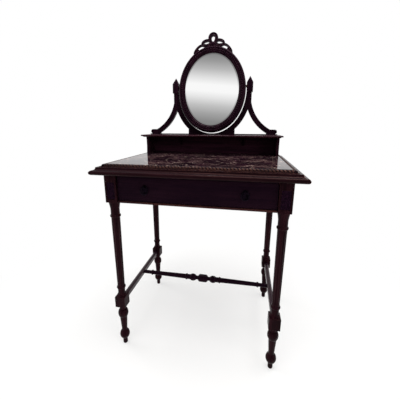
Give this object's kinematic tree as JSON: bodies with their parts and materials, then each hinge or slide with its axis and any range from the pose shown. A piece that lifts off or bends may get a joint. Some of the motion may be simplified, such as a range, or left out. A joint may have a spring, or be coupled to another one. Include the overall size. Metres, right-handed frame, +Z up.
{
  "type": "dressing table",
  "caption": "Dressing table on turned legs with an inset marble top, a drawer with ring pulls, a raised shelf and an oval mirror that tilts in a lyre-shaped stand.",
  "frame": {"origin": "on the floor under the middle of the table top", "axes": "+Z up; +X to the right of someone facing the mirror; +Y towards the back, drawer opens to -Y"},
  "size_m": [0.688, 0.504, 1.2578],
  "materials": {
    "mahogany": "very dark polished mahogany",
    "marble": "polished red-brown veined marble",
    "mirror_glass": "silvered bevelled glass",
    "dark_bronze": "dark patinated brass",
    "brass": "aged brass",
    "screw_steel": "dull steel",
    "drawer_wood": "plain waxed secondary wood"
  },
  "bodies": {
    "table": {"leg_front_left": "mahogany", "leg_front_right": "mahogany", "leg_back_left": "mahogany", "leg_back_right": "mahogany", "side_stretcher_left": "mahogany", "side_stretcher_right": "mahogany", "cross_stretcher": "mahogany", "side_apron_left": "mahogany", "side_apron_right": "mahogany", "back_apron": "mahogany", "front_top_rail": "mahogany", "front_bottom_rail": "mahogany", "drawer_runner_left": "drawer_wood", "drawer_runner_right": "drawer_wood", "drawer_kicker_left": "drawer_wood", "drawer_kicker_right": "drawer_wood", "drawer_stops": "drawer_wood", "top_board": "drawer_wood", "top_moulding_front": "mahogany", "top_moulding_left": "mahogany", "top_moulding_right": "mahogany", "top_back_rail": "mahogany", "rope_bead_front": "mahogany", "rope_bead_left": "mahogany", "rope_bead_right": "mahogany", "marble_top": "marble", "top_screws": "screw_steel", "gradin_side_left": "mahogany", "gradin_side_right": "mahogany", "gradin_back": "mahogany", "gradin_shelf": "mahogany", "shelf_bracket_left": "mahogany", "shelf_bracket_right": "mahogany", "gradin_dowels": "drawer_wood", "stand_base": "mahogany", "stand_arm_left": "mahogany", "stand_arm_right": "mahogany", "stand_brace_left": "mahogany", "stand_brace_right": "mahogany", "finial_left": "mahogany", "finial_right": "mahogany", "pivot_sockets": "brass", "stand_screws": "screw_steel"},
    "drawer": {"drawer_front": "mahogany", "drawer_side_left": "drawer_wood", "drawer_side_right": "drawer_wood", "drawer_back": "drawer_wood", "drawer_bottom": "drawer_wood", "pull_plates": "dark_bronze", "pull_posts": "dark_bronze", "pull_nuts": "brass"},
    "mirror": {"mirror_frame": "mahogany", "mirror_glass": "mirror_glass", "mirror_backboard": "drawer_wood", "backboard_pins": "screw_steel", "mirror_crest": "mahogany", "pivot_pins": "brass"},
    "left_ring": {"pull_ring_left": "dark_bronze"},
    "right_ring": {"pull_ring_right": "dark_bronze"}
  },
  "joints": [
    {"name": "drawer_slide", "type": "slide", "parent": "table", "child": "drawer", "axis": [0, -1, 0], "range_m": [0, 0.25]},
    {"name": "mirror_tilt", "type": "hinge", "parent": "table", "child": "mirror", "pos_m": [0, 0.203, 1.034], "axis": [1, 0, 0], "range_deg": [-23, 37]},
    {"name": "left_ring_swing", "type": "hinge", "parent": "drawer", "child": "left_ring", "pos_m": [-0.166, -0.219, 0.664], "axis": [-1, 0, 0], "range_deg": [0, 90]},
    {"name": "right_ring_swing", "type": "hinge", "parent": "drawer", "child": "right_ring", "pos_m": [0.166, -0.219, 0.664], "axis": [-1, 0, 0], "range_deg": [0, 90]}
  ]
}
